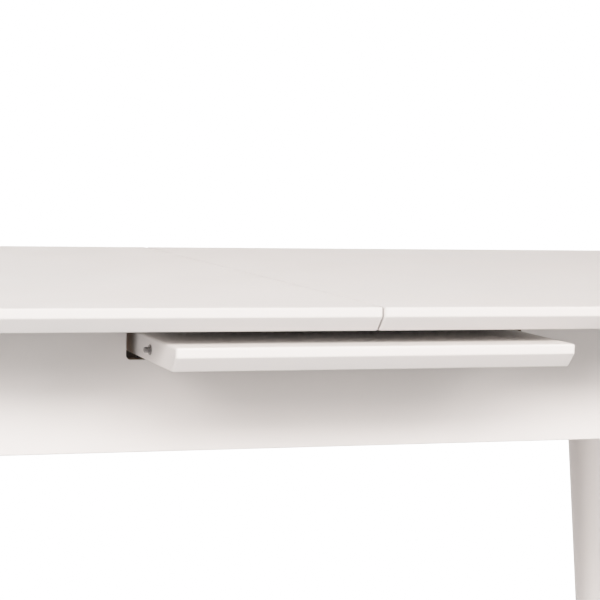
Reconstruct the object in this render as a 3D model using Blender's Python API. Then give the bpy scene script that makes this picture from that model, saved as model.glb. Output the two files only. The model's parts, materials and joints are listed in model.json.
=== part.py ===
"""Extendable dining table with a spare leaf stored under its split top.

A rectangular frame stands on four round, tapered, splayed legs. The two halves of the top
part at the middle and slide outwards on grooved runners. The leaf lies on two steel angles
below them, and slides out through a slot in either long apron.

Metres. +X runs along the table, +Z is up, and the origin is on the floor under the middle.
"""
import math

import bmesh
import bpy
from mathutils import Matrix, Vector

# Driving dimensions -----------------------------------------------------------------------
HEIGHT = 0.750
LENGTH = 1.600
WIDTH = 0.900
LEAF_SPAN = 0.400            # how much longer the leaf makes the table
TRAVEL = LEAF_SPAN / 2       # how far each half of the top slides
GAP = 0.0003                 # left between pieces that touch
SEAM_GAP = 0.0008            # from the middle of the table to either half of the top
SLIDING_GAP = 0.0006         # left between pieces that slide on each other

# Panels
PANEL_THICKNESS = 0.0235
EDGE_BAND = 0.0093           # upright part of the edge, above the bevel underneath
BEVEL_REACH = 0.013
CORNER_RADIUS = 0.020
SEAM_CORNER_RADIUS = 0.0030
ARRIS_RADIUS = 0.0022
BEVEL_EDGE_RADIUS = 0.0030   # where the upright band rolls over into the bevel
LOWER_EASE = 0.0008
LEAF_DROP = 0.0365           # from the top's surface to the stored leaf's surface

# Frame
APRON_SETBACK = 0.144
FRAME_HALF_LENGTH = 0.628
APRON_DEPTH = 0.155          # from the top's surface to the apron's lower edge
BOARD_THICKNESS = 0.018
BOARD_EASE = 0.0012
SLOT_HALF_WIDTH = 0.2105
SLOT_CLEARANCE_ABOVE = 0.003
SLOT_CLEARANCE_BELOW = 0.004
SLOT_CORNER_RADIUS = 0.0045

# Cross members
CROSS_RAIL_X = 0.212         # inner face of the rails beside the leaf
CROSS_RAIL_HEIGHT = 0.070
ANGLE_X = 0.196              # outer face of the steel angles under the leaf's ends
ANGLE_FLANGE = 0.022
ANGLE_THICKNESS = 0.002
KEEPER_WIDTH = 0.020
KEEPER_HEIGHT = 0.030

# Runners under each half, and the guides that hold them
RUNNER_X = 0.235             # inner end when the top is closed
RUNNER_LENGTH = 0.450
RUNNER_Y = 0.100
RUNNER_WIDTH = 0.025
RUNNER_HEIGHT = 0.030
GROOVE_DEPTH = 0.009
GROOVE_HEIGHT = 0.010
TONGUE_DEPTH = 0.0075
TONGUE_PLAY = 0.0005
GUIDE_WIDTH = 0.020
STOP_LENGTH = 0.011
STOP_HEIGHT = 0.015
STOP_MARGIN = 0.002          # the stop is this much narrower than its runner, each side

# Legs
LEG_TOP_DROP = 0.0953        # from the top's surface to the leg's upper end
LEG_TOP_X = 0.575
LEG_TOP_Y = 0.256
LEG_TOP_RADIUS = 0.0275
LEG_FOOT_RADIUS = 0.0160
LEG_EASE = 0.0015
SPLAY_X = 0.110              # outward metres per metre of height
SPLAY_Y = 0.075
LEG_SEGMENTS = 48
BLOCK_SIDE = 0.118
BLOCK_CORNER = 0.022
BLOCK_THICKNESS = 0.035

# Fasteners and feet
BOLT_RADIUS = 0.004
BOLT_IN_LEG = 0.048
BOLT_ABOVE_BLOCK = 0.015
HOLE_PLAY = 0.0004
NUT_ACROSS_FLATS = 0.013
NUT_HEIGHT = 0.0065
NUT_FLANGE_RADIUS = 0.009
NUT_FLANGE_HEIGHT = 0.0015
GLIDE_RADIUS = 0.0135
GLIDE_HEIGHT = 0.004
GLIDE_SPIGOT_RADIUS = 0.0025
GLIDE_SPIGOT_LENGTH = 0.010

# Alignment pins on the left-facing edges, and sockets in the right-facing ones
PIN_ROWS = (-0.359, 0.0, 0.359)
PIN_RADIUS = 0.00275
PIN_LENGTH = 0.0070
PIN_TIP = 0.0012
PIN_COLLAR_RADIUS = 0.0050
PIN_COLLAR_THICKNESS = 0.0012
PIN_SHANK_RADIUS = 0.0037
PIN_SHANK_LENGTH = 0.018
SOCKET_RADIUS = 0.0043
SOCKET_BORE_RADIUS = 0.0031
SOCKET_LENGTH = 0.0120
SOCKET_RECESS_RADIUS = 0.0056
SOCKET_RECESS_DEPTH = 0.0022
SMALL_SEGMENTS = 24

# Heights and faces that follow from them
UNDER_TOP = HEIGHT - PANEL_THICKNESS
FRAME_TOP = UNDER_TOP - GAP
APRON_BOTTOM = HEIGHT - APRON_DEPTH
APRON_FACE = WIDTH / 2 - APRON_SETBACK
APRON_INSIDE = APRON_FACE - BOARD_THICKNESS
END_INSIDE = FRAME_HALF_LENGTH - BOARD_THICKNESS
LEAF_TOP = HEIGHT - LEAF_DROP
LEAF_BOTTOM = LEAF_TOP - PANEL_THICKNESS
CROSS_RAIL_OUTSIDE = CROSS_RAIL_X + BOARD_THICKNESS
RUNNER_BOTTOM = FRAME_TOP - RUNNER_HEIGHT
GROOVE_BOTTOM = FRAME_TOP - (RUNNER_HEIGHT + GROOVE_HEIGHT) / 2
RUNNER_OUTSIDE = RUNNER_Y + RUNNER_WIDTH
STOPPED_END = RUNNER_X + STOP_LENGTH + TRAVEL
LEG_TOP = HEIGHT - LEG_TOP_DROP
BLOCK_TOP = LEG_TOP + GAP + BLOCK_THICKNESS

SIDES = {"left": -1, "right": 1}
ENDS = {"front": -1, "rear": 1}

# Materials: colour, roughness, metallic
FINISHES = {
    "white_lacquer": ((0.80, 0.78, 0.77), 0.35, 0.0),
    "bare_beech": ((0.58, 0.42, 0.27), 0.60, 0.0),
    "zinc_steel": ((0.56, 0.56, 0.55), 0.35, 1.0),
    "black_steel": ((0.03, 0.03, 0.03), 0.55, 0.0),
    "dark_plastic": ((0.05, 0.05, 0.05), 0.50, 0.0),
}


def clear_scene():
    for obj in list(bpy.data.objects):
        bpy.data.objects.remove(obj, do_unlink=True)


def node_material(name, finish):
    """A material of the node's own, in one of the table's finishes."""
    colour, roughness, metallic = FINISHES[finish]
    material = bpy.data.materials.new(name + "_" + finish)
    material.use_nodes = True
    shader = material.node_tree.nodes["Principled BSDF"]
    shader.inputs["Base Color"].default_value = (*colour, 1.0)
    shader.inputs["Roughness"].default_value = roughness
    shader.inputs["Metallic"].default_value = metallic
    material.diffuse_color = (*colour, 1.0)
    return material


def place_empty(name, location):
    empty = bpy.data.objects.new(name, None)
    empty.location = location
    bpy.context.scene.collection.objects.link(empty)
    return empty


def place(name, bm, origin, finish=None, parent=None):
    """Turns a mesh drawn in world coordinates into an object with its origin where asked."""
    origin = Vector(origin)
    bmesh.ops.transform(bm, matrix=Matrix.Translation(-origin), verts=bm.verts)
    bmesh.ops.recalc_face_normals(bm, faces=bm.faces)
    mesh = bpy.data.meshes.new(name)
    bm.to_mesh(mesh)
    bm.free()
    mesh.shade_smooth()
    mesh.set_sharp_from_angle(angle=math.radians(32))
    if finish:
        mesh.materials.append(node_material(name, finish))
    obj = bpy.data.objects.new(name, mesh)
    obj.location = origin
    if parent:
        obj.parent = parent
        obj.location = origin - parent.location
    bpy.context.scene.collection.objects.link(obj)
    return obj


def cut(target, bm, label):
    """Cuts a mesh drawn in world coordinates out of an object, with a hidden cutter."""
    origin = target.location.copy()
    if target.parent:
        origin += target.parent.location
    cutter = place(target.name + "_" + label + "_cutter", bm, origin)
    cutter.parent = target
    cutter.location = (0, 0, 0)
    cutter.hide_render = True
    cutter.display_type = "WIRE"
    modifier = target.modifiers.new(label, "BOOLEAN")
    modifier.operation = "DIFFERENCE"
    modifier.solver = "EXACT"
    modifier.object = cutter


# Shapes, all in world coordinates ---------------------------------------------------------
def box_mesh(low, high, ease=0.0):
    """A block between two corners, with its edges eased."""
    low, high = Vector(low), Vector(high)
    bm = bmesh.new()
    bmesh.ops.create_cube(bm, size=1.0)
    bmesh.ops.scale(bm, vec=high - low, verts=bm.verts)
    bmesh.ops.translate(bm, vec=(low + high) / 2, verts=bm.verts)
    if ease:
        bmesh.ops.bevel(bm, geom=bm.edges[:], offset=ease, segments=2, profile=0.5,
                        affect="EDGES")
    return bm


def mirrored_box(x, y, z, side=1, end=1, ease=0.0):
    """A block from three (from, to) pairs, mirrored in X by side and in Y by end."""
    xs = sorted(side * value for value in x)
    ys = sorted(end * value for value in y)
    return box_mesh((xs[0], ys[0], z[0]), (xs[1], ys[1], z[1]), ease)


def prism_mesh(outline, length):
    """Pushes a closed outline of 3-D points along a vector."""
    bm = bmesh.new()
    face = bm.faces.new([bm.verts.new(point) for point in outline])
    pushed = bmesh.ops.extrude_face_region(bm, geom=[face])["geom"]
    moved = [item for item in pushed if isinstance(item, bmesh.types.BMVert)]
    bmesh.ops.translate(bm, vec=length, verts=moved)
    return bm


def loft_mesh(rings, closed=False):
    """Skins rings that have the same number of points, and caps them unless closed."""
    bm = bmesh.new()
    loops = [[bm.verts.new(point) for point in ring] for ring in rings]
    pairs = list(zip(loops, loops[1:]))
    if closed:
        pairs.append((loops[-1], loops[0]))
    else:
        bm.faces.new(loops[0])
        bm.faces.new(loops[-1])
    count = len(loops[0])
    for lower, upper in pairs:
        for i in range(count):
            j = (i + 1) % count
            bm.faces.new((lower[i], lower[j], upper[j], upper[i]))
    return bm


def turned_mesh(profile, base, axis="Z", lean=(0.0, 0.0), segments=SMALL_SEGMENTS, closed=False):
    """A turned piece. profile holds (radius, distance along the axis) pairs from base."""
    turn = Matrix.Rotation(math.radians(-90), 4, "Y") if axis == "-X" else Matrix.Identity(4)
    rings = []
    for radius, along in profile:
        ring = []
        for i in range(segments):
            angle = math.tau * i / segments
            point = Vector((radius * math.cos(angle) + lean[0] * along,
                            radius * math.sin(angle) + lean[1] * along, along))
            ring.append(Vector(base) + turn @ point)
        rings.append(ring)
    return loft_mesh(rings, closed)


def rounded_rectangle(x_low, x_high, y_half, low_radius, high_radius, steps=7):
    """Outline points of a rectangle whose corners have one radius at each X end."""
    corners = [(x_high, y_half, high_radius, 0), (x_low, y_half, low_radius, 90),
               (x_low, -y_half, low_radius, 180), (x_high, -y_half, high_radius, 270)]
    points = []
    for x, y, radius, start in corners:
        centre_x = x - math.copysign(radius, x - (x_low + x_high) / 2)
        centre_y = y - math.copysign(radius, y)
        for step in range(steps + 1):
            angle = math.radians(start + 90 * step / steps)
            points.append((centre_x + radius * math.cos(angle),
                           centre_y + radius * math.sin(angle)))
    return points


# Panels -----------------------------------------------------------------------------------
def panel_ring(x_low, x_high, z, inset, bevel, outer):
    """One level of a panel: inset moves every edge in, bevel only the table's outer edges."""
    low = inset + (bevel if outer == "low" else 0)
    high = inset + (bevel if outer == "high" else 0)
    low_radius = (CORNER_RADIUS - bevel if outer == "low" else SEAM_CORNER_RADIUS) - inset
    high_radius = (CORNER_RADIUS - bevel if outer == "high" else SEAM_CORNER_RADIUS) - inset
    outline = rounded_rectangle(x_low + low, x_high - high, WIDTH / 2 - inset - bevel,
                                low_radius, high_radius)
    return [(x, y, z) for x, y in outline]


def panel_mesh(x_low, x_high, top, outer=None):
    """A panel with a rounded top arris, an upright band, and a bevel that the band rolls into."""
    rings = []
    steps = 4
    for step in range(steps + 1):
        angle = math.radians(90 * step / steps)
        inset = ARRIS_RADIUS * (1 - math.sin(angle))
        z = top - ARRIS_RADIUS * (1 - math.cos(angle))
        rings.append(panel_ring(x_low, x_high, z, inset, 0, outer))
    bevel_height = PANEL_THICKNESS - EDGE_BAND
    lean = math.atan2(BEVEL_REACH, bevel_height)
    roll_start = top - EDGE_BAND + BEVEL_EDGE_RADIUS * math.tan(lean / 2)
    for step in range(steps + 1):
        angle = lean * step / steps
        bevel = BEVEL_EDGE_RADIUS * (1 - math.cos(angle))
        z = roll_start - BEVEL_EDGE_RADIUS * math.sin(angle)
        rings.append(panel_ring(x_low, x_high, z, 0, bevel, outer))
    bottom = top - PANEL_THICKNESS
    eased_bevel = BEVEL_REACH * (1 - LOWER_EASE / bevel_height)
    rings.append(panel_ring(x_low, x_high, bottom + LOWER_EASE, 0, eased_bevel, outer))
    rings.append(panel_ring(x_low, x_high, bottom, LOWER_EASE, BEVEL_REACH, outer))
    return loft_mesh(rings)


def add_pins(panel, face_x, middle_z, name, parent):
    """Steel pins with a collar, standing out of a panel's left-facing edge."""
    profile = [(PIN_SHANK_RADIUS, -PIN_SHANK_LENGTH), (PIN_SHANK_RADIUS, GAP),
               (PIN_COLLAR_RADIUS, GAP), (PIN_COLLAR_RADIUS, GAP + PIN_COLLAR_THICKNESS),
               (PIN_RADIUS, GAP + PIN_COLLAR_THICKNESS), (PIN_RADIUS, PIN_LENGTH - PIN_TIP),
               (PIN_RADIUS - PIN_TIP / 3, PIN_LENGTH - PIN_TIP / 3),
               (PIN_RADIUS - PIN_TIP, PIN_LENGTH)]
    hole = [(PIN_SHANK_RADIUS + GAP, -PIN_SHANK_LENGTH - GAP), (PIN_SHANK_RADIUS + GAP, GAP)]
    for number, y in enumerate(PIN_ROWS, 1):
        base = (face_x, y, middle_z)
        cut(panel, turned_mesh(hole, base, "-X"), "pin_hole_%d" % number)
        place("%s_%d" % (name, number), turned_mesh(profile, base, "-X"), base,
              "zinc_steel", parent)


def add_sockets(panel, face_x, middle_z, name, parent):
    """Bushes let into a panel's right-facing edge, under a recess for the pin's collar."""
    inner_end = -SOCKET_RECESS_DEPTH - SOCKET_LENGTH
    outer_end = -SOCKET_RECESS_DEPTH - GAP
    bush = [(SOCKET_RADIUS, inner_end), (SOCKET_RADIUS, outer_end),
            (SOCKET_BORE_RADIUS, outer_end), (SOCKET_BORE_RADIUS, inner_end)]
    hole = [(SOCKET_RADIUS + GAP, inner_end - GAP),
            (SOCKET_RADIUS + GAP, -SOCKET_RECESS_DEPTH),
            (SOCKET_RECESS_RADIUS, -SOCKET_RECESS_DEPTH), (SOCKET_RECESS_RADIUS, GAP)]
    for number, y in enumerate(PIN_ROWS, 1):
        base = (face_x, y, middle_z)
        mirrored_bush = [(radius, -along) for radius, along in bush]
        mirrored_hole = [(radius, -along) for radius, along in hole]
        cut(panel, turned_mesh(mirrored_hole, base, "-X"), "socket_hole_%d" % number)
        place("%s_%d" % (name, number), turned_mesh(mirrored_bush, base, "-X", closed=True),
              base, "zinc_steel", parent)


def make_top_half(side_name):
    """One half of the top with everything that slides with it."""
    side = SIDES[side_name]
    slide = place_empty(side_name + "_top_slide", (side * LENGTH / 4, 0, UNDER_TOP))
    edges = sorted((side * SEAM_GAP, side * LENGTH / 2))
    outer = "low" if side < 0 else "high"
    mesh = panel_mesh(edges[0], edges[1], HEIGHT, outer)
    panel = place(side_name + "_top", mesh, slide.location, "white_lacquer", slide)
    middle = HEIGHT - PANEL_THICKNESS / 2
    if side < 0:
        add_sockets(panel, -SEAM_GAP, middle, "left_top_socket", slide)
    else:
        add_pins(panel, SEAM_GAP, middle, "right_top_pin", slide)
    for end_name, end in ENDS.items():
        make_runner(side_name, end_name, side, end, slide)


def make_runner(side_name, end_name, side, end, slide):
    """A beech runner with a groove along its outer side, and the stop at its inner end."""
    inner, outer = RUNNER_Y, RUNNER_OUTSIDE
    groove_top = GROOVE_BOTTOM + GROOVE_HEIGHT
    profile = [(inner, FRAME_TOP), (inner, RUNNER_BOTTOM), (outer, RUNNER_BOTTOM),
               (outer, GROOVE_BOTTOM), (outer - GROOVE_DEPTH, GROOVE_BOTTOM),
               (outer - GROOVE_DEPTH, groove_top), (outer, groove_top), (outer, FRAME_TOP)]
    outline = [(side * RUNNER_X, end * y, z) for y, z in profile]
    mesh = prism_mesh(outline, (side * RUNNER_LENGTH, 0, 0))
    origin = (side * RUNNER_X, end * (inner + outer) / 2, FRAME_TOP)
    place("%s_%s_runner" % (side_name, end_name), mesh, origin, "bare_beech", slide)

    stop_top = RUNNER_BOTTOM - GAP
    stop = mirrored_box((RUNNER_X, RUNNER_X + STOP_LENGTH),
                        (inner + STOP_MARGIN, outer - STOP_MARGIN),
                        (stop_top - STOP_HEIGHT, stop_top), side, end, BOARD_EASE)
    place("%s_%s_stop" % (side_name, end_name), stop, origin, "bare_beech", slide)


def make_leaf():
    """The spare leaf, stored level with the table's front and rear edges."""
    middle = LEAF_TOP - PANEL_THICKNESS / 2
    slide = place_empty("leaf_slide", (0, 0, middle))
    half = LEAF_SPAN / 2
    leaf = place("leaf", panel_mesh(-half, half, LEAF_TOP), slide.location,
                 "white_lacquer", slide)
    add_pins(leaf, -half, middle, "leaf_pin", slide)
    add_sockets(leaf, half, middle, "leaf_socket", slide)


# Frame ------------------------------------------------------------------------------------
def make_long_apron(end_name):
    """A long apron with the slot that the leaf slides through."""
    end = ENDS[end_name]
    mesh = mirrored_box((-FRAME_HALF_LENGTH, FRAME_HALF_LENGTH), (APRON_INSIDE, APRON_FACE),
                        (APRON_BOTTOM, FRAME_TOP), 1, end, BOARD_EASE)
    apron = place(end_name + "_apron", mesh, (0, end * APRON_FACE, APRON_BOTTOM),
                  "white_lacquer")
    slot_low = LEAF_BOTTOM - SLOT_CLEARANCE_BELOW
    slot_high = LEAF_TOP + SLOT_CLEARANCE_ABOVE
    outline = rounded_rectangle(-SLOT_HALF_WIDTH, SLOT_HALF_WIDTH, (slot_high - slot_low) / 2,
                                SLOT_CORNER_RADIUS, SLOT_CORNER_RADIUS)
    through = end * (APRON_FACE + BOARD_THICKNESS)
    slot = [(x, through, (slot_low + slot_high) / 2 + z) for x, z in outline]
    cut(apron, prism_mesh(slot, (0, -3 * end * BOARD_THICKNESS, 0)), "slot")


def make_end_apron(side_name):
    """An end apron, between the long ones, notched for the two runners."""
    side = SIDES[side_name]
    reach = APRON_INSIDE - GAP
    mesh = mirrored_box((END_INSIDE, FRAME_HALF_LENGTH), (-reach, reach),
                        (APRON_BOTTOM, FRAME_TOP), side, 1, BOARD_EASE)
    apron = place(side_name + "_apron", mesh, (side * FRAME_HALF_LENGTH, 0, APRON_BOTTOM),
                  "white_lacquer")
    for end_name, end in ENDS.items():
        notch = mirrored_box((END_INSIDE - BOARD_THICKNESS, FRAME_HALF_LENGTH + BOARD_THICKNESS),
                             (RUNNER_Y - SLIDING_GAP, RUNNER_OUTSIDE + SLIDING_GAP),
                             (RUNNER_BOTTOM - SLIDING_GAP, HEIGHT), side, end)
        cut(apron, notch, end_name + "_notch")


def make_cross_members(side_name):
    """The rail beside the leaf, the angle under it, and the keeper rail under the runners.

    The angle has a plate across each end, which is screwed to the long apron."""
    side = SIDES[side_name]
    reach = APRON_INSIDE - GAP
    rail = mirrored_box((CROSS_RAIL_X, CROSS_RAIL_OUTSIDE), (-reach, reach),
                        (FRAME_TOP - CROSS_RAIL_HEIGHT, FRAME_TOP), side, 1, BOARD_EASE)
    place(side_name + "_cross_rail", rail, (side * CROSS_RAIL_X, 0, FRAME_TOP), "bare_beech")

    inner_x = ANGLE_X - ANGLE_FLANGE
    flange_top = LEAF_BOTTOM - GAP
    angle = mirrored_box((inner_x, ANGLE_X), (-reach, reach),
                         (flange_top - ANGLE_FLANGE, flange_top), side)
    angle = place(side_name + "_leaf_angle", angle, (side * ANGLE_X, 0, flange_top),
                  "black_steel")
    plate = reach - ANGLE_THICKNESS
    hollow = mirrored_box((inner_x - ANGLE_THICKNESS, ANGLE_X - ANGLE_THICKNESS),
                          (-plate, plate),
                          (flange_top - 2 * ANGLE_FLANGE, flange_top - ANGLE_THICKNESS), side)
    cut(angle, hollow, "hollow")

    keeper_top = RUNNER_BOTTOM - SLIDING_GAP
    keeper_x = STOPPED_END + GAP
    keeper = mirrored_box((keeper_x, keeper_x + KEEPER_WIDTH), (-reach, reach),
                          (keeper_top - KEEPER_HEIGHT, keeper_top), side, 1, BOARD_EASE)
    place(side_name + "_keeper_rail", keeper, (side * keeper_x, 0, keeper_top), "bare_beech")


def make_guide(side_name, end_name):
    """A guide batten beside a runner, with the tongue that its groove rides on."""
    side, end = SIDES[side_name], ENDS[end_name]
    face = RUNNER_OUTSIDE + SLIDING_GAP
    back = face + GUIDE_WIDTH
    low, high = RUNNER_BOTTOM - SLIDING_GAP + GAP, FRAME_TOP - SLIDING_GAP
    tongue_low = GROOVE_BOTTOM + TONGUE_PLAY
    tongue_high = GROOVE_BOTTOM + GROOVE_HEIGHT - TONGUE_PLAY
    tip = RUNNER_OUTSIDE - TONGUE_DEPTH
    profile = [(back, low), (back, high), (face, high), (face, tongue_high),
               (tip, tongue_high), (tip, tongue_low), (face, tongue_low), (face, low)]
    start = CROSS_RAIL_OUTSIDE + GAP
    outline = [(side * start, end * y, z) for y, z in profile]
    mesh = prism_mesh(outline, (side * (END_INSIDE - GAP - start), 0, 0))
    place("%s_%s_guide" % (side_name, end_name), mesh, (side * start, end * face, low),
          "bare_beech")


# Legs -------------------------------------------------------------------------------------
def make_leg(side_name, end_name):
    """One leg with its corner block, hanger bolt, flange nut and foot glide."""
    side, end = SIDES[side_name], ENDS[end_name]
    prefix = "%s_%s_" % (end_name, side_name)
    top_centre = (side * LEG_TOP_X, end * LEG_TOP_Y, LEG_TOP)
    lean = (-side * SPLAY_X, -end * SPLAY_Y)
    foot = -(LEG_TOP - GLIDE_HEIGHT - GAP)
    profile = [(LEG_FOOT_RADIUS - LEG_EASE, foot), (LEG_FOOT_RADIUS, foot + LEG_EASE),
               (LEG_TOP_RADIUS, -LEG_EASE), (LEG_TOP_RADIUS - LEG_EASE, 0)]
    leg = place(prefix + "leg",
                turned_mesh(profile, top_centre, lean=lean, segments=LEG_SEGMENTS),
                top_centre, "white_lacquer")
    bolt_hole = BOLT_RADIUS + HOLE_PLAY
    cut(leg, turned_mesh([(bolt_hole, -BOLT_IN_LEG - GAP), (bolt_hole, GAP)], top_centre),
        "bolt_hole")
    make_block(prefix, side, end, top_centre, bolt_hole)
    make_bolt_and_nut(prefix, top_centre)
    make_glide(prefix, leg, side, end)


def make_block(prefix, side, end, top_centre, bolt_hole):
    """The block glued into the frame's corner, which the leg is bolted to."""
    corner_x, corner_y = END_INSIDE - GAP, APRON_INSIDE - GAP
    plan = [(corner_x, corner_y), (corner_x - BLOCK_SIDE, corner_y),
            (corner_x - BLOCK_SIDE, corner_y - BLOCK_CORNER),
            (corner_x - BLOCK_CORNER, corner_y - BLOCK_SIDE),
            (corner_x, corner_y - BLOCK_SIDE)]
    outline = [(side * x, end * y, LEG_TOP + GAP) for x, y in plan]
    block = place(prefix + "block", prism_mesh(outline, (0, 0, BLOCK_THICKNESS)),
                  (side * corner_x, end * corner_y, LEG_TOP + GAP), "bare_beech")
    through = [(bolt_hole, -GAP), (bolt_hole, BLOCK_THICKNESS + 3 * GAP)]
    cut(block, turned_mesh(through, top_centre), "bolt_hole")


def make_bolt_and_nut(prefix, top_centre):
    """The hanger bolt up through the block, and the flange nut that draws the leg tight."""
    block_top = BLOCK_TOP - LEG_TOP
    bolt_end = block_top + BOLT_ABOVE_BLOCK
    tip = BOLT_RADIUS / 4
    bolt = [(BOLT_RADIUS - tip, -BOLT_IN_LEG), (BOLT_RADIUS, -BOLT_IN_LEG + tip),
            (BOLT_RADIUS, bolt_end - tip), (BOLT_RADIUS - tip, bolt_end)]
    place(prefix + "bolt", turned_mesh(bolt, top_centre), top_centre, "zinc_steel")

    seat = block_top + GAP
    bore = BOLT_RADIUS + GAP
    hexagon = NUT_ACROSS_FLATS / math.sqrt(3)
    flange_top = seat + NUT_FLANGE_HEIGHT
    washer = [(bore, seat), (NUT_FLANGE_RADIUS, seat), (NUT_FLANGE_RADIUS, flange_top),
              (bore, flange_top)]
    body = [(bore, flange_top), (hexagon, flange_top),
            (hexagon, flange_top + NUT_HEIGHT), (bore, flange_top + NUT_HEIGHT)]
    rings = []
    for radius, along in washer[:3] + body[1:]:
        corners = radius == hexagon
        rings.append(nut_ring(top_centre, radius, along, corners))
    place(prefix + "nut", loft_mesh(rings, closed=True), top_centre, "zinc_steel")


def nut_ring(centre, radius, along, hexagonal):
    """A ring of the nut: a circle, or a hexagon with the same number of points."""
    ring = []
    for i in range(SMALL_SEGMENTS):
        angle = math.tau * i / SMALL_SEGMENTS
        reach = radius
        if hexagonal:
            from_corner = angle % math.radians(60)
            reach = (radius * math.cos(math.radians(30))
                     / math.cos(from_corner - math.radians(30)))
        ring.append((centre[0] + reach * math.cos(angle),
                     centre[1] + reach * math.sin(angle), centre[2] + along))
    return ring


def make_glide(prefix, leg, side, end):
    """The pad under a foot, held by a spigot pressed up into the leg."""
    drop = LEG_TOP - GLIDE_HEIGHT - GAP
    centre = (side * (LEG_TOP_X + SPLAY_X * drop), end * (LEG_TOP_Y + SPLAY_Y * drop), 0)
    ease = GLIDE_HEIGHT / 4
    spigot_end = GLIDE_HEIGHT + GLIDE_SPIGOT_LENGTH
    profile = [(GLIDE_RADIUS - ease, 0), (GLIDE_RADIUS, ease), (GLIDE_RADIUS, GLIDE_HEIGHT),
               (GLIDE_SPIGOT_RADIUS, GLIDE_HEIGHT), (GLIDE_SPIGOT_RADIUS, spigot_end)]
    place(prefix + "glide", turned_mesh(profile, centre), centre, "dark_plastic")
    hole_radius = GLIDE_SPIGOT_RADIUS + GAP
    hole = [(hole_radius, GLIDE_HEIGHT), (hole_radius, spigot_end + GAP)]
    cut(leg, turned_mesh(hole, centre), "glide_hole")


def make_table():
    for end_name in ENDS:
        make_long_apron(end_name)
    for side_name in SIDES:
        make_end_apron(side_name)
        make_cross_members(side_name)
        for end_name in ENDS:
            make_guide(side_name, end_name)
            make_leg(side_name, end_name)
        make_top_half(side_name)
    make_leaf()


clear_scene()
make_table()
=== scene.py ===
"""Looks of the extendable dining table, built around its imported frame."""
import json
import math

import bmesh
import bpy
from mathutils import Matrix, Vector

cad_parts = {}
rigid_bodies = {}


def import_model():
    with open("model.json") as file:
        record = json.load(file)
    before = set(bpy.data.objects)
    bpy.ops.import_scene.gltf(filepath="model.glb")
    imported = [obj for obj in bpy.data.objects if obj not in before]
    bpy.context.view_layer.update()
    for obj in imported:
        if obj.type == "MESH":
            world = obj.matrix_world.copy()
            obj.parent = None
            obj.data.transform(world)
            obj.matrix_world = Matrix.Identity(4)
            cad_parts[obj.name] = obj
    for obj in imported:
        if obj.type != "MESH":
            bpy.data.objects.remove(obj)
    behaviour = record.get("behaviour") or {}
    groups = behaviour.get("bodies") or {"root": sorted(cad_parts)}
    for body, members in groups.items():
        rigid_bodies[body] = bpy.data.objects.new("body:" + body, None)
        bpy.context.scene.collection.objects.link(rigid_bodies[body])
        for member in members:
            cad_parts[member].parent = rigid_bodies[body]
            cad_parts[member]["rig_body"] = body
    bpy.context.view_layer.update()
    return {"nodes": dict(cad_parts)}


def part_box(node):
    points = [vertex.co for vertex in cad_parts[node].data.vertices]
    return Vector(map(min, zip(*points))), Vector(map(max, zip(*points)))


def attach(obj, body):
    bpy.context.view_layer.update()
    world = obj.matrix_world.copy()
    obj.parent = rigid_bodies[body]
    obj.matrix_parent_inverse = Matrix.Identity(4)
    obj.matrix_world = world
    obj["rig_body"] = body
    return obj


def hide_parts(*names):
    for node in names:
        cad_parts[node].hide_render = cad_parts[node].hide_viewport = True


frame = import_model()

# Linear colours
LACQUER = (0.80, 0.765, 0.75)
LACQUER_COOL = (0.785, 0.765, 0.755)
PRIMER = (0.66, 0.64, 0.61)
FIBREBOARD = (0.27, 0.205, 0.15)
FIBREBOARD_DARK = (0.18, 0.13, 0.09)
BEECH = (0.60, 0.41, 0.25)
BEECH_LATE = (0.47, 0.29, 0.16)
BEECH_FLECK = (0.30, 0.16, 0.08)
ZINC = (0.62, 0.62, 0.60)
ZINC_DULL = (0.42, 0.43, 0.45)
PIN_STEEL = (0.36, 0.34, 0.33)
PIN_STEEL_DULL = (0.22, 0.21, 0.21)
PAINT_BLACK = (0.020, 0.020, 0.021)
PAINT_GREY = (0.034, 0.034, 0.035)
PLASTIC = (0.022, 0.022, 0.024)
PLASTIC_LIGHT = (0.040, 0.040, 0.042)
FLOOR = (0.90, 0.90, 0.90)

# Surface detail. A fineness is how many waves a noise has to a metre, a relief is a bump's
# strength and its depth in metres, and a pair of roughnesses is the range over a piece.
SOFT = (0.3, 0.7)            # spreads a noise's middle values
BOARD_FIBRE_FINENESS = 1400.0
BOARD_BLOTCH_FINENESS = 90.0
BOARD_ROUGHNESS = 0.85
BOARD_RELIEF = (0.30, 0.00025)
PRIMER_FINENESS = 240.0
PRIMER_ROUGHNESS = 0.72
LACQUER_CLOUD_FINENESS = 2.2
LACQUER_RUB_FINENESS = 14.0
LACQUER_ROUGHNESS = (0.62, 0.72)
LACQUER_SPECULAR = 0.15
WAVE_FINENESS = 38.0
WAVE_RELIEF = (0.05, 0.0006)
PEEL_FINENESS = 650.0
PEEL_RELIEF = (0.05, 0.00012)
PORE_FINENESS = 700.0
PORE_RELIEF = (0.10, 0.00008)
BEECH_RINGS = 420.0          # growth rings to a metre
BEECH_WANDER = 9.0           # how many rings their waviness spans
BEECH_WANDER_FINENESS = 9.0
BEECH_BLUSH_FINENESS = 12.0
BEECH_FLECK_FINENESS = 520.0
BEECH_FIBRE_FINENESS = 1100.0
BEECH_PORE_FINENESS = 1900.0
BEECH_ROUGHNESS = (0.55, 0.72)
BEECH_END_ROUGHNESS = 0.8
BEECH_RELIEF = (0.22, 0.0003)
FIBRE_SHARE = 0.05           # how finely fibres vary along the grain, as a share of across it
ZINC_SPANGLE_FINENESS = 45.0
ZINC_MOTTLE_FINENESS = 260.0
ZINC_DULL_FINENESS = 700.0
ZINC_PIT_FINENESS = 1800.0
ZINC_ROUGHNESS = (0.24, 0.42)
ZINC_RELIEF = (0.12, 0.00008)
PAINT_PIT_FINENESS = 1100.0
PAINT_RUB_FINENESS = 120.0
PAINT_ROUGHNESS = (0.50, 0.62)
PAINT_SPECULAR = 0.35
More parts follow.
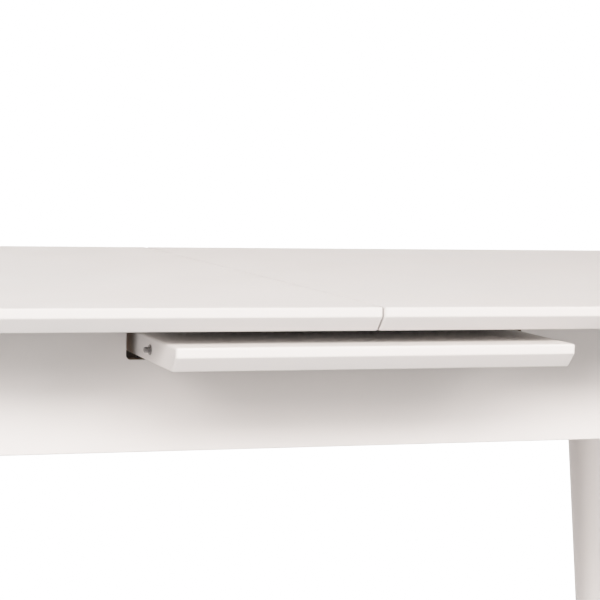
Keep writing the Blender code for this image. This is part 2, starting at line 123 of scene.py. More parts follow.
PAINT_RELIEF = (0.15, 0.0001)
PLASTIC_GRAIN_FINENESS = 1500.0
PLASTIC_SCUFF_FINENESS = 300.0
PLASTIC_ROUGHNESS = (0.45, 0.65)
PLASTIC_RELIEF = (0.2, 0.0001)

# Fine work on the pieces, in metres and degrees
MERGE = 0.000005
FLAT_ANGLE = 0.5             # faces closer to one plane than this are joined
EDGE_ANGLE = 50.0            # edges sharper than this are eased, or stay crisp
TIMBER_EASE = 0.0007
BOARD_EASE = 0.0005
STEEL_EASE = 0.00025
EASE_STEPS = 3
PAINT_WRAP = 0.0010          # how far lacquer runs round an edge onto a bare face
MASK_EDGE = 0.0003

# Fasteners and turned pieces, in metres
TURNED_SEGMENTS = 64
THREAD_PITCH = 0.00125
THREAD_DEPTH = 0.0007
THREAD_STEPS = 8             # rings to one turn
THREADED_LENGTH = 0.0150
CHAMFER = 0.0004
SCREW_HEAD_RADIUS = 0.0040
SCREW_SINK = 0.0002          # a countersunk head lies this far below the surface
SCREW_PLAY = 0.00015
SCREW_SHANK_RADIUS = 0.0019
SCREW_RIM = 0.0002           # chamfer round a countersunk head
SCREW_NECK = 0.0001          # from a head's underside to its shank
PAN_HEAD_HEIGHT = 0.0022
PAN_HEAD_STEPS = 6
RECESS_ARM = 0.0021
RECESS_WIDTH = 0.00075
RECESS_DEPTH = 0.0016
RECESS_TAPER = 0.45          # a recess's width at its bottom, as a share of its mouth
RUNNER_SCREWS = 4
PLATE_SCREW_SPREAD = 0.0045
SCREW_END_MARGIN = 0.045
BLOCK_SCREW_SPREAD = 0.026
BLOCK_CORNER = 0.022         # length of a block's short sides
SCREW_LENGTH = 0.009
SCREW_SEGMENTS = 32
SCREW_SPIN = 37.0
ANGLE_THICKNESS = 0.002
FACE_GAP = 0.0003
PIN_COUNT = 3
PIN_RADIUS = 0.00275
PIN_COLLAR_THICKNESS = 0.0012
PIN_SHANK_RADIUS = 0.0037
PIN_DOME_SHARE = 0.6
PIN_DOME_STEPS = 5
SOCKET_BORE_RADIUS = 0.0031
GLIDE_HEIGHT = 0.004
GLIDE_SPIGOT_RADIUS = 0.0025
NUT_ACROSS_FLATS = 0.013
NUT_FLANGE_HEIGHT = 0.0015
NUT_SKIRT = 1.2              # where the flange is at full height, as a share of the flat
NUT_SIDE_START = 1.05        # where the hexagon starts, as a share of the flange's height
NUT_CHAMFER_START = 0.96     # where the corners' chamfer starts, as a share of the flat
NUT_BORE_RADIUS = 0.0043
NUT_SEGMENTS = 72

# Studio: strengths, and sizes in metres
STUDIO_TINT = (1.0, 0.95, 0.92)
REAR_WASH = 0.47             # brightness of the half of the room behind the table
REAR_WASH_SHARPNESS = 2.0    # how quickly it fades away from straight behind
REAR_GLOW = 1.91             # what a tighter glow adds to it
REAR_GLOW_SHARPNESS = 6.0
# How strongly the floor's painted glow lights the table, though the floor is no lamp
FLOOR_GLOW = 0.176
FLOOR_LIFT = 0.35            # share of painted glow, white to the viewer, in the floor near the table
SOFTBOX_DISTANCE = 6.4
SOFTBOX_SIZE = (2.4, 1.6)
# Name, azimuth and elevation in degrees, power in watts
SOFTBOXES = (("low_left_softbox", -38.0, 9.0, 43.0), ("low_right_softbox", 38.0, 9.0, 22.0),
             ("left_softbox", -38.0, 22.0, 80.0), ("right_softbox", 38.0, 22.0, 61.0),
             ("high_left_softbox", -38.0, 32.0, 12.0), ("high_right_softbox", 38.0, 32.0, 20.0),
             ("front_left_softbox", -13.0, 32.0, 64.0), ("front_right_softbox", 13.0, 32.0, 63.0))
SHOULDER = 3.0               # how strongly the response holds back the highlights
SHOULDER_POINTS = 10         # on the response's curve
FLOOR_REACH = 30.0
FLOOR_PALE_RADIUS = 0.9
FLOOR_WHITE_RADIUS = 1.45

# Where the viewer stands, in metres and degrees, with the lens and sensor in millimetres
VIEW_PLACE = (-0.6496, -2.0944, 0.9037)
VIEW_YAW = 18.998
VIEW_PITCH = 4.829
VIEW_ROLL = 1.553
VIEW_LENS = 114.20
SENSOR = 36.0


# Node trees -------------------------------------------------------------------------------
class Tree:
    """A new material's nodes, added and wired by short calls."""

    def __init__(self, name):
        self.material = bpy.data.materials.new(name)
        self.material.use_nodes = True
        self.nodes = self.material.node_tree.nodes
        self.links = self.material.node_tree.links
        self.shader = self.nodes["Principled BSDF"]
        self.place = self.nodes.new("ShaderNodeTexCoord").outputs["Object"]

    def feed(self, socket, value):
        if isinstance(value, bpy.types.NodeSocket):
            self.links.new(value, socket)
        else:
            socket.default_value = value

    def shade(self, **values):
        """Sets or wires the Principled shader's inputs, named with _ for spaces."""
        for name, value in values.items():
            self.feed(self.shader.inputs[name.replace("_", " ")], value)

    def stretch(self, scale, move=(0.0, 0.0, 0.0)):
        node = self.nodes.new("ShaderNodeMapping")
        node.inputs["Scale"].default_value = scale
        node.inputs["Location"].default_value = move
        self.links.new(self.place, node.inputs["Vector"])
        return node.outputs["Vector"]

    def noise(self, fineness, detail=2.0, rough=0.5, vector=None):
        node = self.nodes.new("ShaderNodeTexNoise")
        node.inputs["Scale"].default_value = fineness
        node.inputs["Detail"].default_value = detail
        node.inputs["Roughness"].default_value = rough
        self.links.new(vector or self.place, node.inputs["Vector"])
        return node.outputs["Fac"]

    def ramp(self, value, low, high, out_low=0.0, out_high=1.0):
        node = self.nodes.new("ShaderNodeMapRange")
        node.interpolation_type = "SMOOTHSTEP"
        self.links.new(value, node.inputs["Value"])
        for name, number in (("From Min", low), ("From Max", high),
                             ("To Min", out_low), ("To Max", out_high)):
            node.inputs[name].default_value = number
        return node.outputs["Result"]

    def math(self, operation, *values):
        node = self.nodes.new("ShaderNodeMath")
        node.operation = operation
        for socket, value in zip(node.inputs, values):
            self.feed(socket, value)
        return node.outputs["Value"]

    def mix(self, factor, first, second):
        node = self.nodes.new("ShaderNodeMix")
        node.data_type = "RGBA"
        self.feed(node.inputs["Factor"], factor)
        for socket, value in ((node.inputs[6], first), (node.inputs[7], second)):
            self.feed(socket, value if isinstance(value, bpy.types.NodeSocket) else (*value, 1))
        return node.outputs[2]

    def near(self, axis, middle, half):
        """1 where the surface is within half of middle along an axis, and 0 beyond."""
        split = self.nodes.new("ShaderNodeSeparateXYZ")
        self.links.new(self.place, split.inputs["Vector"])
        away = self.math("ABSOLUTE", self.math("SUBTRACT", split.outputs[axis], middle))
        return self.ramp(away, half - MASK_EDGE, half + MASK_EDGE, 1.0, 0.0)

    def bump(self, height, relief, below=None):
        node = self.nodes.new("ShaderNodeBump")
        node.inputs["Strength"].default_value, node.inputs["Distance"].default_value = relief
        self.links.new(height, node.inputs["Height"])
        if below:
            self.links.new(below, node.inputs["Normal"])
        return node.outputs["Normal"]


def bare_board(tree):
    """Raw fibreboard: pressed brown fibres with paler and darker flecks."""
    fibres = tree.noise(BOARD_FIBRE_FINENESS, 4.0, 0.65, tree.stretch((0.35, 1.0, 1.0)))
    blotches = tree.noise(BOARD_BLOTCH_FINENESS, 3.0)
    tone = tree.mix(tree.ramp(fibres, 0.34, 0.66), FIBREBOARD_DARK, FIBREBOARD)
    return tree.mix(tree.ramp(blotches, *SOFT, 0.0, 0.35), tone, FIBREBOARD_DARK), fibres


def lacquer(name, bare=None, primed=None, grain_axis=None):
    """Matte white lacquer: a fine orange peel over board that isn't perfectly flat.

    bare and primed say where a face shows raw fibreboard or only primer. Over turned wood,
    the pores show faintly along grain_axis."""
    tree = Tree(name)
    clouds = tree.ramp(tree.noise(LACQUER_CLOUD_FINENESS, 3.0), 0.35, 0.65)
    tone = tree.mix(clouds, LACQUER, LACQUER_COOL)
    rough = tree.ramp(tree.noise(LACQUER_RUB_FINENESS, 4.0), *SOFT, *LACQUER_ROUGHNESS)
    peel = tree.bump(tree.noise(WAVE_FINENESS), WAVE_RELIEF)
    peel = tree.bump(tree.noise(PEEL_FINENESS), PEEL_RELIEF, peel)
    if grain_axis:
        place = tree.stretch(stretched_along(grain_axis, 0.04))
        pores = tree.noise(PORE_FINENESS, 3.0, 0.6, place)
        peel = tree.bump(tree.ramp(pores, 0.45, 0.65), PORE_RELIEF, peel)
    if primed:
        mask = primed(tree)
        chalk = tree.noise(PRIMER_FINENESS, 4.0, 0.6)
        dull = tree.mix(tree.ramp(chalk, *SOFT, 0.0, 0.5), PRIMER, FIBREBOARD)
        tone = tree.mix(mask, tone, tree.mix(0.12, PRIMER, dull))
        rough = tree.math("MAXIMUM", rough, tree.math("MULTIPLY", mask, PRIMER_ROUGHNESS))
    if bare:
        mask = bare(tree)
        raw, fibres = bare_board(tree)
        tone = tree.mix(mask, tone, raw)
        rough = tree.math("MAXIMUM", rough, tree.math("MULTIPLY", mask, BOARD_ROUGHNESS))
        peel = tree.bump(tree.math("MULTIPLY", fibres, mask), BOARD_RELIEF, peel)
    tree.shade(Base_Color=tone, Roughness=rough, Specular_IOR_Level=LACQUER_SPECULAR,
               Normal=peel)
    return tree


def stretched_along(axis, share):
    return [share if letter == axis else 1.0 for letter in "XYZ"]


def beech(name, axis):
    """Planed beech round a pith outside the piece, with flecks and pores along the grain."""
    tree = Tree(name)
    along = "XYZ".index(axis)
    seed = sum(name.encode()) % 23
    pith = [0.035 + 0.004 * (seed % 5), 0.050 + 0.003 * (seed % 7)]
    centre = [0.0 if i == along else pith.pop() for i in range(3)]
    fibre_place = tree.stretch(stretched_along(axis, FIBRE_SHARE))
    wander = tree.noise(BEECH_WANDER_FINENESS, 3.0, 0.5,
                        tree.stretch(stretched_along(axis, 0.25)))
    reach = tree.stretch(stretched_along(axis, 0.0), centre)
    radius = tree.nodes.new("ShaderNodeVectorMath")
    radius.operation = "LENGTH"
    tree.links.new(reach, radius.inputs[0])
    rings = tree.math("ADD", tree.math("MULTIPLY", radius.outputs["Value"], BEECH_RINGS),
                      tree.math("MULTIPLY", wander, BEECH_WANDER))
    late_wood = tree.ramp(tree.math("FRACT", rings), 0.45, 0.98)
    fibres = tree.noise(BEECH_FIBRE_FINENESS, 3.0, 0.6, fibre_place)
    flecks = tree.ramp(tree.noise(BEECH_FLECK_FINENESS, 1.0, 0.5, fibre_place), 0.63, 0.69)
    blush = tree.ramp(tree.noise(BEECH_BLUSH_FINENESS, 2.0, 0.5, fibre_place),
                      *SOFT, 0.0, 0.35)
    tone = tree.mix(tree.math("MULTIPLY", late_wood, 0.55), BEECH, BEECH_LATE)
    tone = tree.mix(blush, tone, BEECH_LATE)
    tone = tree.mix(tree.math("MULTIPLY", flecks, 0.60), tone, BEECH_FLECK)
    tone = tree.mix(tree.ramp(fibres, *SOFT, 0.0, 0.18), tone, BEECH_FLECK)

    split = tree.nodes.new("ShaderNodeSeparateXYZ")
    tree.links.new(tree.nodes.new("ShaderNodeTexCoord").outputs["Normal"], split.inputs[0])
    cut_end = tree.ramp(tree.math("ABSOLUTE", split.outputs[along]), 0.80, 0.92)
    pores = tree.ramp(tree.noise(BEECH_PORE_FINENESS), 0.45, 0.62)
    end_tone = tree.mix(tree.math("MULTIPLY", late_wood, 0.8), BEECH_LATE, BEECH_FLECK)
    end_tone = tree.mix(tree.math("MULTIPLY", pores, 0.45), end_tone, BEECH_FLECK)
    rough = tree.math("MAXIMUM", tree.ramp(fibres, *SOFT, *BEECH_ROUGHNESS),
                      tree.math("MULTIPLY", cut_end, BEECH_END_ROUGHNESS))
    tree.shade(Base_Color=tree.mix(cut_end, tone, end_tone), Roughness=rough,
               Normal=tree.bump(fibres, BEECH_RELIEF))
    return tree


def zinc(name, light=ZINC, dull=ZINC_DULL):
    """Zinc plate: a mottled metal that is duller in places, with fine pits."""
    tree = Tree(name)
    mottle = tree.ramp(tree.noise(ZINC_MOTTLE_FINENESS, 4.0, 0.6), 0.35, 0.7)
    spangle = tree.ramp(tree.noise(ZINC_SPANGLE_FINENESS, 3.0, 0.7), 0.4, 0.7, 0.0, 0.4)
    dulling = tree.noise(ZINC_DULL_FINENESS, 3.0)
    tone = tree.mix(spangle, tree.mix(mottle, light, dull), dull)
    tree.shade(Base_Color=tone, Metallic=1.0,
               Roughness=tree.ramp(dulling, *SOFT, *ZINC_ROUGHNESS),
               Normal=tree.bump(tree.noise(ZINC_PIT_FINENESS), ZINC_RELIEF))
    return tree


def painted_steel(name):
    """Matte black paint with a powder coat's fine pitting, rubbed where the leaf slides."""
    tree = Tree(name)
    pits = tree.noise(PAINT_PIT_FINENESS)
    streaks = tree.noise(PAINT_RUB_FINENESS, 3.0, 0.6, tree.stretch((1.0, 0.08, 1.0)))
    rubbed = tree.ramp(streaks, 0.62, 0.75)
    tone = tree.mix(tree.ramp(pits, *SOFT), PAINT_BLACK, PAINT_GREY)
    tree.shade(Base_Color=tree.mix(tree.math("MULTIPLY", rubbed, 0.15), tone, ZINC_DULL),
               Roughness=tree.ramp(pits, *SOFT, *PAINT_ROUGHNESS),
               Specular_IOR_Level=PAINT_SPECULAR, Normal=tree.bump(pits, PAINT_RELIEF))
    return tree


def plastic(name):
    """Moulded plastic with a fine spark-eroded texture and scuffs from the floor."""
    tree = Tree(name)
    grain = tree.noise(PLASTIC_GRAIN_FINENESS)
    scratches = tree.noise(PLASTIC_SCUFF_FINENESS, 3.0, 0.7, tree.stretch((0.2, 1.0, 1.0)))
    scuffs = tree.ramp(scratches, 0.6, 0.75)
    tone = tree.mix(tree.ramp(grain, *SOFT), PLASTIC, PLASTIC_LIGHT)
    tree.shade(Base_Color=tree.mix(tree.math("MULTIPLY", scuffs, 0.3), tone, ZINC_DULL),
               Roughness=tree.ramp(grain, *SOFT, *PLASTIC_ROUGHNESS),
               Normal=tree.bump(grain, PLASTIC_RELIEF))
    return tree


# Meshes -----------------------------------------------------------------------------------
def finished_mesh(name, bm):
    """Smooth faces that turn outwards, with crisp sharp edges."""
    bmesh.ops.recalc_face_normals(bm, faces=bm.faces)
    mesh = bpy.data.meshes.new(name)
    bm.to_mesh(mesh)
    bm.free()
    mesh.shade_smooth()
    mesh.set_sharp_from_angle(angle=math.radians(EDGE_ANGLE))
    return mesh


def apply_modifiers(piece):
    """Keeps the evaluated mesh and drops the modifiers."""
    bpy.context.view_layer.update()
    graph = bpy.context.evaluated_depsgraph_get()
    mesh = bpy.data.meshes.new_from_object(piece.evaluated_get(graph))
    piece.modifiers.clear()
    piece.data = mesh


def weigh_normals(piece):
    """Keeps large flat faces flat next to narrow eased edges."""
    modifier = piece.modifiers.new("weighted", "WEIGHTED_NORMAL")
    modifier.mode = "FACE_AREA"
    modifier.keep_sharp = True
    apply_modifiers(piece)


def cut(piece, bm):
    """Cuts a closed mesh out of a piece."""
    cutter = bpy.data.objects.new("cutter", finished_mesh("cutter", bm))
    linked = piece.name in bpy.context.scene.collection.objects
    if not linked:
        bpy.context.scene.collection.objects.link(piece)
    bpy.context.scene.collection.objects.link(cutter)
    modifier = piece.modifiers.new("cut", "BOOLEAN")
    modifier.operation = "DIFFERENCE"
    modifier.solver = "EXACT"
    modifier.object = cutter
    apply_modifiers(piece)
    bpy.data.objects.remove(cutter)
    piece.data.shade_smooth()
    piece.data.set_sharp_from_angle(angle=math.radians(EDGE_ANGLE))


def add_piece(name, bm, tree, body, nodes=(), cutter=None):
    """A piece made of a finished mesh, in place, riding on its body."""
    piece = bpy.data.objects.new(name, finished_mesh(name, bm))
    bpy.context.scene.collection.objects.link(piece)
    if cutter:
        cut(piece, cutter)
    piece.data.materials.clear()
    piece.data.materials.append(tree.material)
    weigh_normals(piece)
    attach(piece, body)
    if nodes:
        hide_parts(*nodes)
    return piece


def body_of(node):
    return frame["nodes"][node]["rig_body"]


def node_bmesh(node):
    """A CAD node's mesh with its triangles joined into flat faces."""
    bm = bmesh.new()
    bm.from_mesh(frame["nodes"][node].data)
    bmesh.ops.remove_doubles(bm, verts=bm.verts, dist=MERGE)
    bmesh.ops.dissolve_limit(bm, angle_limit=math.radians(FLAT_ANGLE),
                             use_dissolve_boundaries=False, verts=bm.verts, edges=bm.edges)
    return bm


def ease_edges(bm, ease):
    sharp = [edge for edge in bm.edges
             if edge.is_manifold and edge.calc_face_angle() > math.radians(EDGE_ANGLE)]
    bmesh.ops.bevel(bm, geom=sharp, offset=ease, segments=EASE_STEPS, profile=0.5,
                    affect="EDGES", clamp_overlap=True)


def turned(profile, base, turn, segments=TURNED_SEGMENTS, closed=False):
    """Rings of (radius, distance) pairs round an axis. A zero radius closes an end."""
    bm = bmesh.new()
    rings = []
    for radius, along in profile:
        if radius == 0:
            rings.append([bm.verts.new(base + turn @ Vector((0, 0, along)))])
            continue
        ring = []
        for i in range(segments):
            angle = math.tau * i / segments
            point = Vector((radius * math.cos(angle), radius * math.sin(angle), along))
            ring.append(bm.verts.new(base + turn @ point))
        rings.append(ring)
    skin(bm, rings, closed)
    return bm


def skin(bm, rings, closed=False):
    """Faces between neighbouring rings. A ring of one point makes a fan."""
    pairs = list(zip(rings, rings[1:]))
    if closed:
        pairs.append((rings[-1], rings[0]))
    for lower, upper in pairs:
        count = max(len(lower), len(upper))
        for i in range(count):
            j = (i + 1) % count
            corners = (lower[i % len(lower)], lower[j % len(lower)],
                       upper[j % len(upper)], upper[i % len(upper)])
            bm.faces.new(dict.fromkeys(corners))


def round_corner(corner, before, after, radius, steps=4):
    """Points of an arc that rounds a right-angled corner of a profile."""
    to_before = Vector((before[0] - corner[0], before[1] - corner[1])).normalized()
    to_after = Vector((after[0] - corner[0], after[1] - corner[1])).normalized()
    centre = Vector(corner) + radius * (to_before + to_after)
    points = []
    for step in range(steps + 1):
        angle = math.radians(90 * step / steps)
        point = centre - radius * (to_after * math.cos(angle) + to_before * math.sin(angle))
        points.append((point.x, point.y))
    return points


def screw_mesh(head, above, length):
    """A screw that points down, with a cross recess. head is its outline from the middle out."""
    shank = [(SCREW_SHANK_RADIUS, head[-1][1] - SCREW_NECK),
             (SCREW_SHANK_RADIUS, above - length), (0, above - length - SCREW_SHANK_RADIUS)]
    bm = turned([(0, above)] + head + shank, Vector(), Matrix.Identity(3), SCREW_SEGMENTS)
    screw = bpy.data.objects.new("screw", finished_mesh("screw", bm))
    arm, half = RECESS_ARM, RECESS_WIDTH / 2
    quarter = ((arm, -half), (arm, half), (half, half))
    outline = [Matrix.Rotation(math.radians(90 * turn), 2) @ Vector(point)
               for turn in range(4) for point in quarter]
    rings = []
    recess = bmesh.new()
    for share, height in ((1.0, above + RECESS_DEPTH), (1.0, above),
                          (RECESS_TAPER, above - RECESS_DEPTH)):
        rings.append([recess.verts.new((share * x, share * y, height)) for x, y in outline])
    skin(recess, rings)
    recess.faces.new(rings[0])
    recess.faces.new(rings[-1])
    cut(screw, recess)
    mesh = screw.data
    bpy.data.objects.remove(screw)
    return mesh


def countersunk_screw():
    cone = SCREW_HEAD_RADIUS - SCREW_SHANK_RADIUS
    rim = -SCREW_SINK - SCREW_RIM
    head = [(SCREW_HEAD_RADIUS - SCREW_RIM, -SCREW_SINK), (SCREW_HEAD_RADIUS, rim),
            (SCREW_SHANK_RADIUS, rim - cone)]
    return screw_mesh(head, -SCREW_SINK, SCREW_LENGTH)


def pan_screw():
    rim = PAN_HEAD_HEIGHT / 3
    head = []
    for step in range(1, PAN_HEAD_STEPS + 1):
        angle = math.radians(90 * step / PAN_HEAD_STEPS)
        head.append((SCREW_HEAD_RADIUS * math.sin(angle),
                     rim + (PAN_HEAD_HEIGHT - rim) * math.cos(angle)))
    head.append((SCREW_HEAD_RADIUS, SCREW_NECK))
    return screw_mesh(head, PAN_HEAD_HEIGHT, SCREW_LENGTH)


def screw_hole(countersunk):
    """What a screw's hole takes out of its piece."""
    wide = SCREW_HEAD_RADIUS + SCREW_PLAY
    narrow = SCREW_SHANK_RADIUS + SCREW_PLAY
    deep = -SCREW_LENGTH - SCREW_HEAD_RADIUS
    if countersunk:
        sink = SCREW_SINK + SCREW_PLAY
        return [(0, sink), (wide, sink), (wide, -sink), (narrow, narrow - wide - sink),
                (narrow, deep), (0, deep)]
    return [(0, SCREW_SINK), (narrow, SCREW_SINK), (narrow, deep), (0, deep)]


def facing(direction):
    return Vector(direction).to_track_quat("Z", "Y").to_matrix()


def hole_cutter(places, direction, countersunk=True):
    bm = bmesh.new()
    for place in places:
        hole = turned(screw_hole(countersunk), place, facing(direction), SCREW_SEGMENTS)
        gather(bm, hole)
    return bm


def gather(bm, other):
    """Adds one bmesh to another and frees it."""
    mesh = bpy.data.meshes.new("gathered")
    other.to_mesh(mesh)
    other.free()
    bm.from_mesh(mesh)
    bpy.data.meshes.remove(mesh)


def add_screws(name, mesh, places, direction, body):
    """One piece with a screw at each place, each turned a little further than the last."""
    bm = bmesh.new()
    for number, place in enumerate(places):
        screw = bmesh.new()
        screw.from_mesh(mesh)
        spin = Matrix.Rotation(math.radians(SCREW_SPIN * number), 3, "Z")
        turn = (facing(direction) @ spin).to_4x4()
        bmesh.ops.transform(screw, matrix=Matrix.Translation(place) @ turn, verts=screw.verts)
        gather(bm, screw)
    add_piece(name, bm, zinc(name + "_zinc"), body)


# Boards, panels and timber ----------------------------------------------------------------
def fine_piece(node, tree, ease=0.0, cutter=None):
    """Stands for a CAD node: the same shape, with eased edges, true normals and its holes."""
    bm = node_bmesh(node)
    if ease:
        ease_edges(bm, ease)
    return add_piece(node + "_fine", bm, tree, body_of(node), (node,), cutter)


def make_panel(node):
    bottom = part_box(node)[0].z
    tree = lacquer(node + "_lacquer", primed=lambda tree: tree.near("Z", bottom, MASK_EDGE))
    fine_piece(node, tree)


def make_apron(node):
    """Lacquer outside. The inner face and the walls of the leaf's slot are bare."""
    low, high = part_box(node)
    across = "Y" if high.x - low.x > high.y - low.y else "X"
    axis = "XYZ".index(across)
    inner = min(low[axis], high[axis], key=abs)
    thickness = high[axis] - low[axis]
    slot = [vert.co for vert in frame["nodes"][node].data.vertices
            if low.z + thickness < vert.co.z < high.z - thickness / 2]

    def bare(tree):
        mask = tree.near(across, inner, MASK_EDGE)
        if across == "X":
            return mask
        walls = tree.near("Y", inner, thickness - PAINT_WRAP)
        for name, i in (("X", 0), ("Z", 2)):
            near, far = min(co[i] for co in slot), max(co[i] for co in slot)
            reach = (far - near) / 2 + MASK_EDGE
            walls = tree.math("MULTIPLY", walls, tree.near(name, (near + far) / 2, reach))
        return tree.math("MAXIMUM", mask, walls)

    fine_piece(node, lacquer(node + "_lacquer", bare=bare), BOARD_EASE)


def spaced(low, high, count):
    return [low + (high - low) * i / (count - 1) for i in range(count)]


def make_runner(node, screw):
    """A runner, screwed up into the top from below."""
    low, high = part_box(node)
    xs = spaced(low.x + SCREW_END_MARGIN, high.x - SCREW_END_MARGIN, RUNNER_SCREWS)
    places = [Vector((x, (low.y + high.y) / 2, low.z)) for x in xs]
    down = (0, 0, -1)
    fine_piece(node, beech(node + "_beech", "X"), TIMBER_EASE, hole_cutter(places, down))
    add_screws(node + "_screws", screw, places, down, body_of(node))


def make_block(node, screw):
    """A corner block, with two screws through its diagonal face."""
    low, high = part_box(node)
    centre = (low + high) / 2
    inward = Vector((-math.copysign(1, centre.x), -math.copysign(1, centre.y), 0)).normalized()
    along = Vector((-inward.y, inward.x, 0))
    middle = centre + inward * BLOCK_CORNER / math.sqrt(2)
    places = [middle + along * shift for shift in (-BLOCK_SCREW_SPREAD, BLOCK_SCREW_SPREAD)]
    fine_piece(node, beech(node + "_beech", "X"), TIMBER_EASE, hole_cutter(places, inward))
    add_screws(node + "_screws", screw, places, inward, "frame")


def make_angle(node, screw):
    """The steel angle under one end of the leaf, screwed to the aprons through its end plates."""
    low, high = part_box(node)
    middle = (low + high) / 2
    cutter = bmesh.new()
    for end, plate_y, inward in (("front", low.y + ANGLE_THICKNESS, (0, 1, 0)),
                                 ("rear", high.y - ANGLE_THICKNESS, (0, -1, 0))):
        places = [Vector((middle.x + shift, plate_y, middle.z - shift))
                  for shift in (-PLATE_SCREW_SPREAD, PLATE_SCREW_SPREAD)]
        gather(cutter, hole_cutter(places, inward, False))
        add_screws("%s_%s_screws" % (node, end), screw, places, inward, "frame")
    fine_piece(node, painted_steel(node + "_paint"), STEEL_EASE, cutter)


# Turned pieces and fasteners --------------------------------------------------------------
def turned_piece(node, profile, base, turn, tree, closed=False):
    """Stands for a CAD node with a finer turned shape."""
    add_piece(node + "_fine", turned(profile, base, turn, closed=closed), tree,
              body_of(node), (node,))


def make_pin(node, panel_face):
    """A pin in a left-facing edge: a shank in the board, a collar, and a domed tip."""
    low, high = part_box(node)
    base = Vector((panel_face, (low.y + high.y) / 2, (low.z + high.z) / 2))
    collar = (high.y - low.y) / 2
    shank_end, tip = panel_face - high.x, panel_face - low.x
    seat = FACE_GAP + PIN_COLLAR_THICKNESS
    rounding = PIN_COLLAR_THICKNESS / 3
    profile = [(0, shank_end), (PIN_SHANK_RADIUS - rounding, shank_end),
               (PIN_SHANK_RADIUS, shank_end + rounding), (PIN_SHANK_RADIUS, FACE_GAP),
               (collar, FACE_GAP)]
    profile += round_corner((collar, seat), (collar, FACE_GAP), (PIN_RADIUS, seat), rounding)
    profile += [(PIN_RADIUS, seat)]
    dome = PIN_RADIUS * PIN_DOME_SHARE
    for step in range(PIN_DOME_STEPS + 1):
        angle = math.radians(90 * step / PIN_DOME_STEPS)
        profile.append((PIN_RADIUS * math.cos(angle) if step < PIN_DOME_STEPS else 0,
                        tip - dome + dome * math.sin(angle)))
    turned_piece(node, profile, base, facing((-1, 0, 0)),
                 zinc(node + "_zinc", PIN_STEEL, PIN_STEEL_DULL))


def make_socket(node):
    """A bush in a right-facing edge, with an eased mouth."""
    low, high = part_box(node)
    base = Vector((high.x, (low.y + high.y) / 2, (low.z + high.z) / 2))
    outer, inner_end = (high.y - low.y) / 2, low.x - high.x
    bore = SOCKET_BORE_RADIUS
    profile = [(outer, inner_end), (outer, -CHAMFER / 2), (outer - CHAMFER / 2, 0),
               (bore + CHAMFER, 0), (bore, -CHAMFER), (bore, inner_end)]
    turned_piece(node, profile, base, facing((1, 0, 0)), zinc(node + "_zinc"), closed=True)


def make_glide(node):
    """The pad under a foot, with a rounded rim."""
    low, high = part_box(node)
    base = Vector(((low.x + high.x) / 2, (low.y + high.y) / 2, low.z))
    radius = (high.x - low.x) / 2
    rounding = GLIDE_HEIGHT / 3
    profile = [(0, 0)]
    profile += round_corner((radius, 0), (0, 0), (radius, GLIDE_HEIGHT), rounding)
    profile += round_corner((radius, GLIDE_HEIGHT), (radius, 0), (0, GLIDE_HEIGHT), rounding)
    profile += [(GLIDE_SPIGOT_RADIUS, GLIDE_HEIGHT), (GLIDE_SPIGOT_RADIUS, high.z - low.z),
                (0, high.z - low.z)]
    turned_piece(node, profile, base, Matrix.Identity(3), plastic(node + "_plastic"))


def make_bolt(node):
    """A hanger bolt. Its upper end carries a machine thread."""
    low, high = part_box(node)
    radius = (high.x - low.x) / 2
    base = Vector(((low.x + high.x) / 2, (low.y + high.y) / 2, 0))
    bm = bmesh.new()
    rings = [[bm.verts.new(base + Vector((0, 0, low.z)))]]
    rising = THREAD_PITCH / THREAD_STEPS
    count = round(THREADED_LENGTH / rising)
    heights = [low.z, low.z + CHAMFER] + [high.z - rising * step for step in range(count, -1, -1)]
    for height in heights:
        from_top = high.z - height
        threaded = from_top < THREADED_LENGTH - THREAD_PITCH
        ring = []
        for i in range(TURNED_SEGMENTS):
            phase = (height / THREAD_PITCH - i / TURNED_SEGMENTS) % 1.0
            depth = THREAD_DEPTH * abs(2 * phase - 1) if threaded else 0.0
            reach = min(radius - depth, radius - THREAD_DEPTH + from_top)
            if height == low.z:
                reach = radius - CHAMFER
            angle = math.tau * i / TURNED_SEGMENTS
            ring.append(bm.verts.new(base + Vector((reach * math.cos(angle),
                                                    reach * math.sin(angle), height))))
        rings.append(ring)
    rings.append([bm.verts.new(base + Vector((0, 0, high.z)))])
    skin(bm, rings)
    add_piece(node + "_fine", bm, zinc(node + "_zinc"), body_of(node), (node,))


def make_nut(node):
    """A hexagonal nut with chamfered corners on a flange that thins towards its rim."""
    low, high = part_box(node)
    base = Vector(((low.x + high.x) / 2, (low.y + high.y) / 2, low.z))
    height = high.z - low.z
    rim = NUT_FLANGE_HEIGHT / 2
    flange = (high.x - low.x) / 2
    flat = NUT_ACROSS_FLATS / 2
    chamfered = flat * NUT_CHAMFER_START
    bore = NUT_BORE_RADIUS

    def ring(radius, level, hexagonal=False):
        points = []
        for i in range(NUT_SEGMENTS):
            angle = math.tau * i / NUT_SEGMENTS
            reach, drop = radius, 0.0
            if hexagonal:
                reach = flat / math.cos(angle % math.radians(60) - math.radians(30))
                drop = (reach - chamfered) * math.tan(math.radians(30)) if level == height else 0
            points.append(bm.verts.new(base + Vector((reach * math.cos(angle),
                                                      reach * math.sin(angle), level - drop))))
        return points

    bm = bmesh.new()
    rings = [ring(bore + CHAMFER, 0), ring(flange - CHAMFER, 0), ring(flange, CHAMFER),
             ring(flange, rim), ring(flat * NUT_SKIRT, NUT_FLANGE_HEIGHT),
             ring(0, NUT_FLANGE_HEIGHT * NUT_SIDE_START, True), ring(0, height, True),
             ring(chamfered, height), ring(bore + CHAMFER, height),
             ring(bore, height - CHAMFER), ring(bore, CHAMFER)]
    skin(bm, rings, closed=True)
    add_piece(node + "_fine", bm, zinc(node + "_zinc"), body_of(node), (node,))


